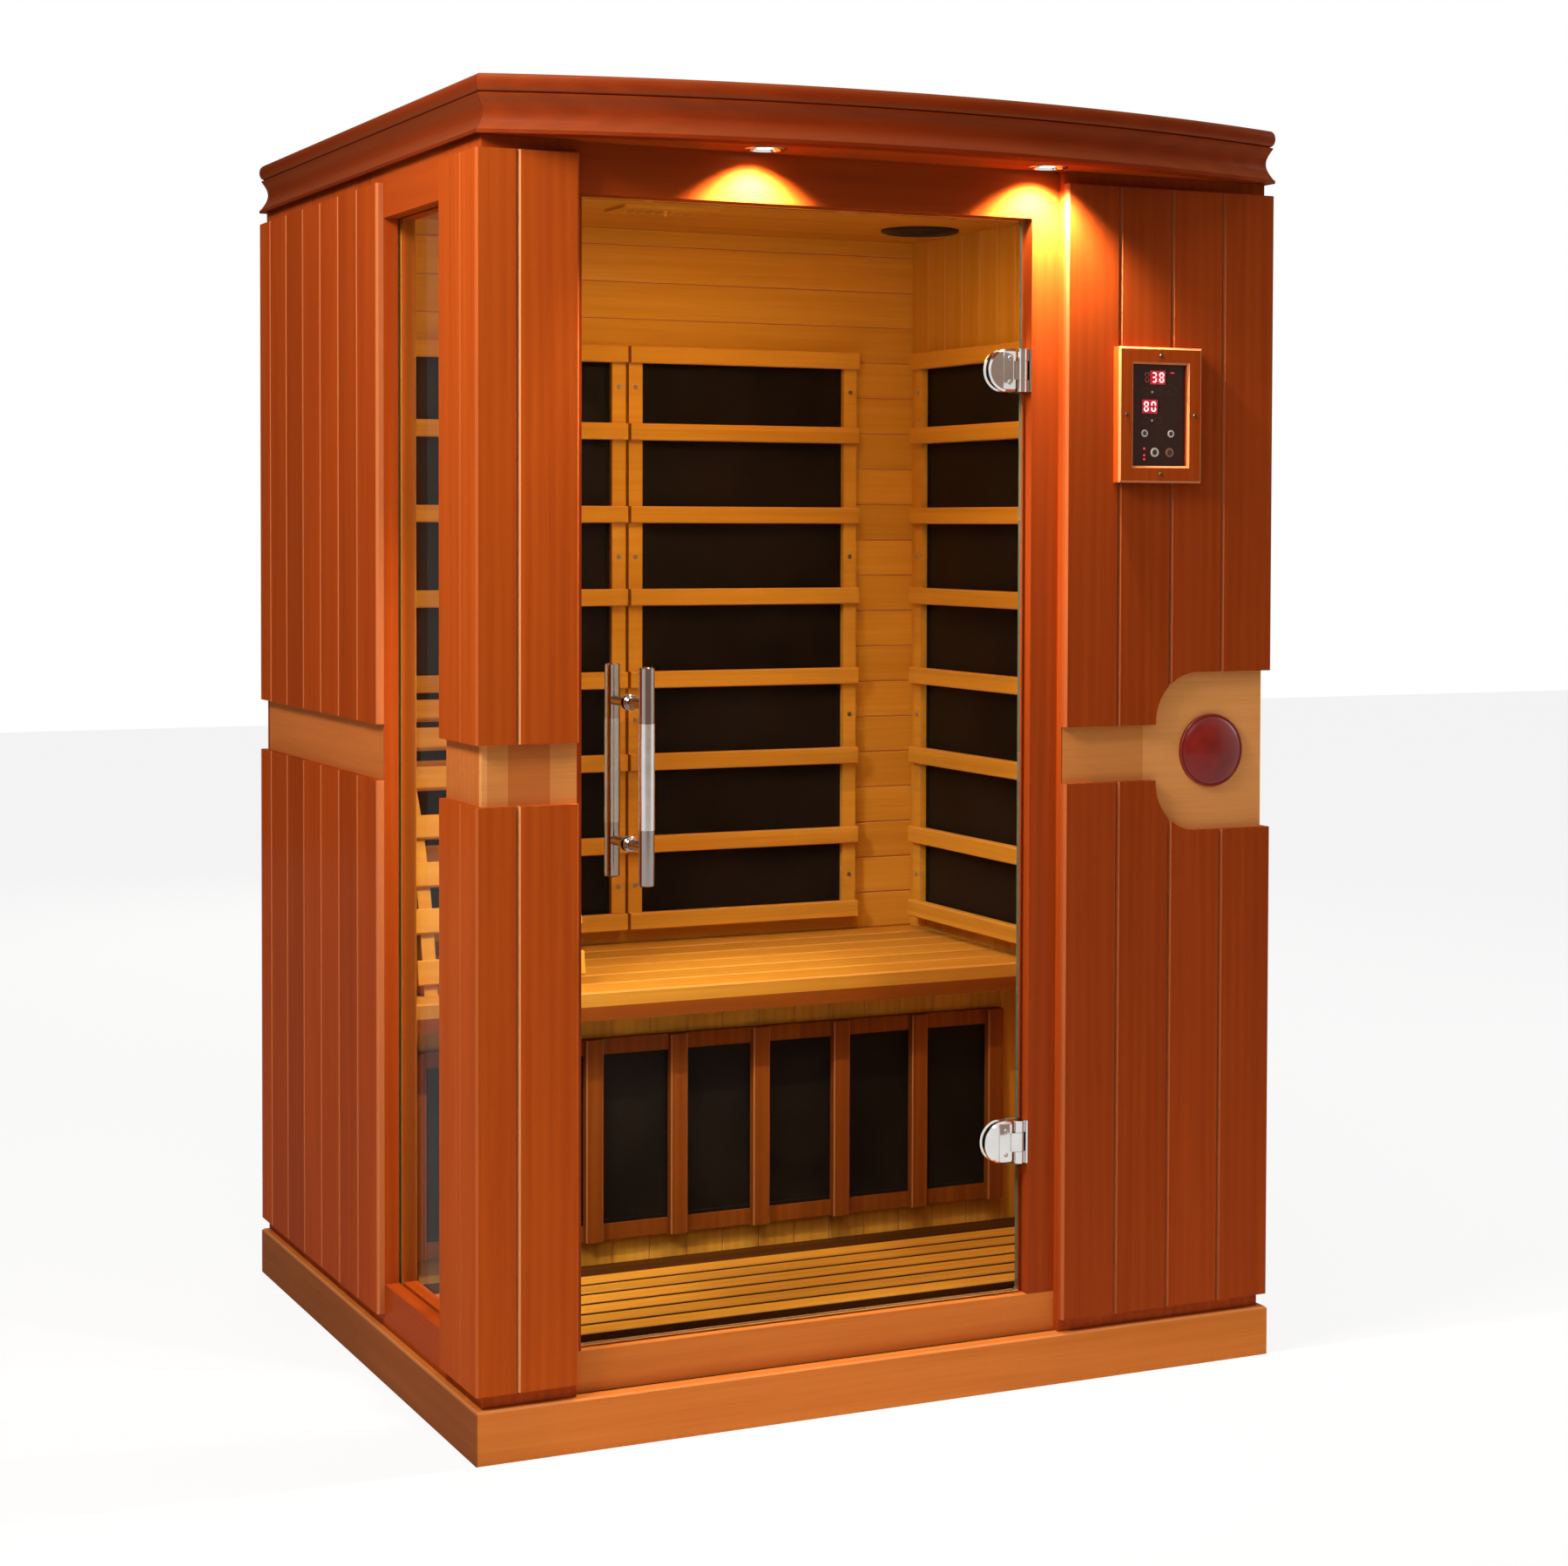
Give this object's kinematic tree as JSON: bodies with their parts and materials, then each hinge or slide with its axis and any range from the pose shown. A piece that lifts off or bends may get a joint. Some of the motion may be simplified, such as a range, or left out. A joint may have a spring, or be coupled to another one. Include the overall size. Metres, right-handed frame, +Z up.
{
  "type": "infrared sauna cabin",
  "caption": "Wooden infrared sauna cabin with a bowed crown, glass door on clamp hinges, side window, slatted bench, guarded heaters and a framed control panel.",
  "frame": {"origin": "middle of the base's footprint, on the floor", "axes": "+X to the right seen from the front, +Y to the back, +Z up; the door faces -Y"},
  "size_m": [1.29, 1.263, 1.9],
  "materials": {
    "stained_wood": "cherry-stained softwood boards, lacquered",
    "natural_wood": "plain hemlock, sanded",
    "heater_black": "matt black emitter sheet",
    "clear_glass": "clear toughened glass",
    "chrome": "polished chrome",
    "panel_black": "gloss black control panel",
    "button_grey": "grey push button",
    "speaker_black": "black speaker grille",
    "box_grey": "grey painted sheet",
    "seal_black": "soft black seal",
    "red_enamel": "red gloss enamel"
  },
  "bodies": {
    "cabin": {"base_skirt": "stained_wood", "window_header": "stained_wood", "window_sill": "stained_wood", "left_cladding_lower": "stained_wood", "left_cladding_upper": "stained_wood", "right_cladding_lower": "stained_wood", "right_cladding_upper": "stained_wood", "front_cladding_lower": "stained_wood", "front_cladding_upper": "stained_wood", "post_cladding_lower": "stained_wood", "post_cladding_upper": "stained_wood", "door_header": "stained_wood", "door_sill": "stained_wood", "hinge_jamb": "stained_wood", "strike_jamb": "stained_wood", "crown_moulding": "stained_wood", "roof_panel": "stained_wood", "floor_panel": "natural_wood", "duckboard": "natural_wood", "left_wall_panel": "natural_wood", "right_wall_panel": "natural_wood", "back_wall_panel": "natural_wood", "front_wall_panel": "natural_wood", "corner_post": "natural_wood", "vent_grille": "natural_wood", "control_frame": "natural_wood", "bench_seat": "natural_wood", "bench_wall": "natural_wood", "back_left_heater_guard": "natural_wood", "back_right_heater_guard": "natural_wood", "left_heater_guard": "natural_wood", "right_heater_guard": "natural_wood", "leg_heater_guard": "natural_wood", "back_left_heater_emitter": "heater_black", "back_right_heater_emitter": "heater_black", "left_heater_emitter": "heater_black", "right_heater_emitter": "heater_black", "leg_heater_emitter": "heater_black", "window_glass": "clear_glass", "hinge_leaf_1": "chrome", "hinge_leaf_2": "chrome", "downlight_left": "chrome", "downlight_right": "chrome", "door_seal": "seal_black", "speaker": "speaker_black", "control_panel": "panel_black", "power_box": "box_grey", "corner_disc": "red_enamel"},
    "door": {"door_glass": "clear_glass", "handle_outside": "chrome", "handle_inside": "chrome", "hinge_clamp_1": "chrome", "hinge_clamp_2": "chrome"},
    "vent_shutter": {"vent_shutter": "natural_wood"},
    "backrest": {"backrest": "natural_wood"},
    "light_button": {"light_button": "button_grey"},
    "sound_button": {"sound_button": "button_grey"},
    "power_button": {"power_button": "button_grey"},
    "heat_button": {"heat_button": "button_grey"}
  },
  "joints": [
    {"name": "door_swing", "type": "hinge", "parent": "cabin", "child": "door", "pos_m": [0.2192, -0.5443, 0.94], "axis": [0, 0, 1], "range_deg": [0, 110]},
    {"name": "vent_slide", "type": "slide", "parent": "cabin", "child": "vent_shutter", "axis": [1, 0, 0], "range_m": [0, 0.0085]},
    {"name": "backrest_lift", "type": "slide", "parent": "cabin", "child": "backrest", "axis": [0, 0, 1], "range_m": [0, 0.3]},
    {"name": "light_button_press", "type": "slide", "parent": "cabin", "child": "light_button", "axis": [0, 1, 0], "range_m": [0, 0.001], "stiffness_N_per_m": 400},
    {"name": "sound_button_press", "type": "slide", "parent": "cabin", "child": "sound_button", "axis": [0, 1, 0], "range_m": [0, 0.001], "stiffness_N_per_m": 400},
    {"name": "power_button_press", "type": "slide", "parent": "cabin", "child": "power_button", "axis": [0, 1, 0], "range_m": [0, 0.001], "stiffness_N_per_m": 400},
    {"name": "heat_button_press", "type": "slide", "parent": "cabin", "child": "heat_button", "axis": [0, 1, 0], "range_m": [0, 0.001], "stiffness_N_per_m": 400}
  ]
}
